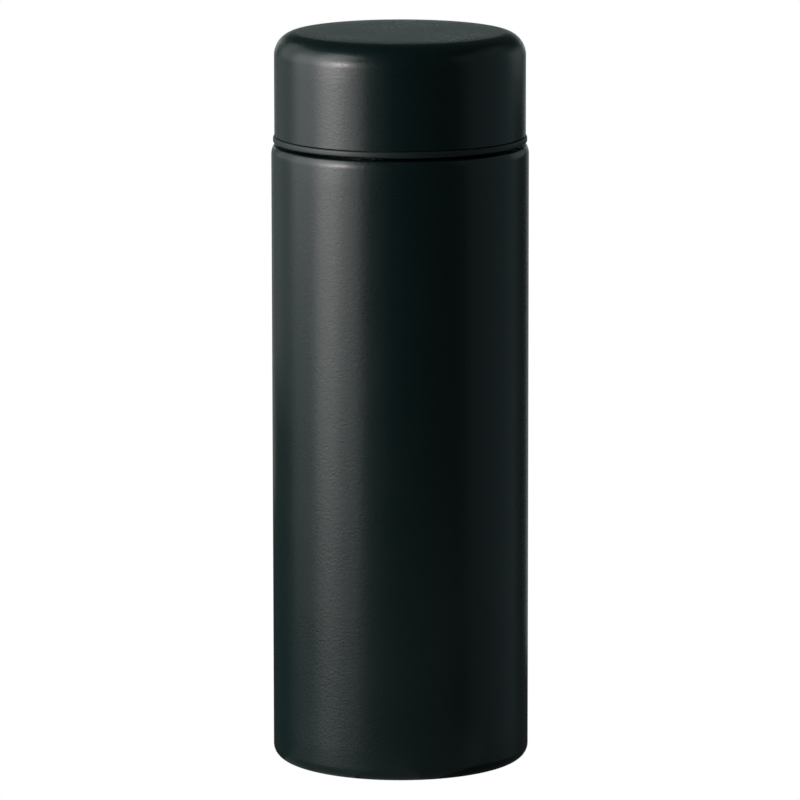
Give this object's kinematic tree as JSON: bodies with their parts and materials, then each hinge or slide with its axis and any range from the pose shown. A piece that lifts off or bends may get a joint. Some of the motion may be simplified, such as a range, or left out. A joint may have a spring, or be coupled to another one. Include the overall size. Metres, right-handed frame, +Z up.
{
  "type": "vacuum flask",
  "caption": "Slim straight double-walled steel vacuum flask, matte black, with a flat-topped screw cap that unscrews from a threaded neck.",
  "frame": {"origin": "centre of the standing rim, on the surface the flask stands on", "axes": "+Z up along the flask's axis, from the base to the cap; +X and +Y are equivalent, because the outside is a body of revolution"},
  "size_m": [0.066, 0.066, 0.189],
  "materials": {
    "black_powder_coat": "matte",
    "black_plastic": "matte",
    "stopper_plastic": "satin",
    "liner_steel": "satin",
    "base_steel": "satin",
    "copper": "satin",
    "getter_alloy": "matte",
    "solder_glass": "gloss",
    "foam_tape": "matte",
    "foam": "matte",
    "silicone": "satin"
  },
  "bodies": {
    "flask": {"outer_shell": "black_powder_coat", "neck_sleeve": "liner_steel", "inner_liner": "liner_steel", "inner_bottom": "liner_steel", "outer_bottom": "base_steel", "seal_bead": "solder_glass", "getter_pill": "getter_alloy", "getter_clip": "base_steel", "copper_foil": "copper", "base_adhesive": "foam_tape", "base_plate": "base_steel"},
    "cap_lifter": {"plug_insulation": "foam"},
    "cap": {"cap_shell": "black_powder_coat", "inner_cap": "black_plastic", "stopper_plug": "stopper_plastic", "top_insulation": "foam", "cap_gasket": "silicone"}
  },
  "joints": [
    {"name": "cap_lift", "type": "slide", "parent": "flask", "child": "cap_lifter", "axis": [0, 0, 1], "range_m": [0, 0.0241]},
    {"name": "cap_turn", "type": "hinge", "parent": "cap_lifter", "child": "cap", "pos_m": [0, 0, 0.17], "axis": [0, 0, 1], "range_deg": [0, 1080]}
  ],
  "couplings": [
    {"joint": "cap_lift", "follows": "cap_turn", "m_per_rad": 0.0012732}
  ]
}
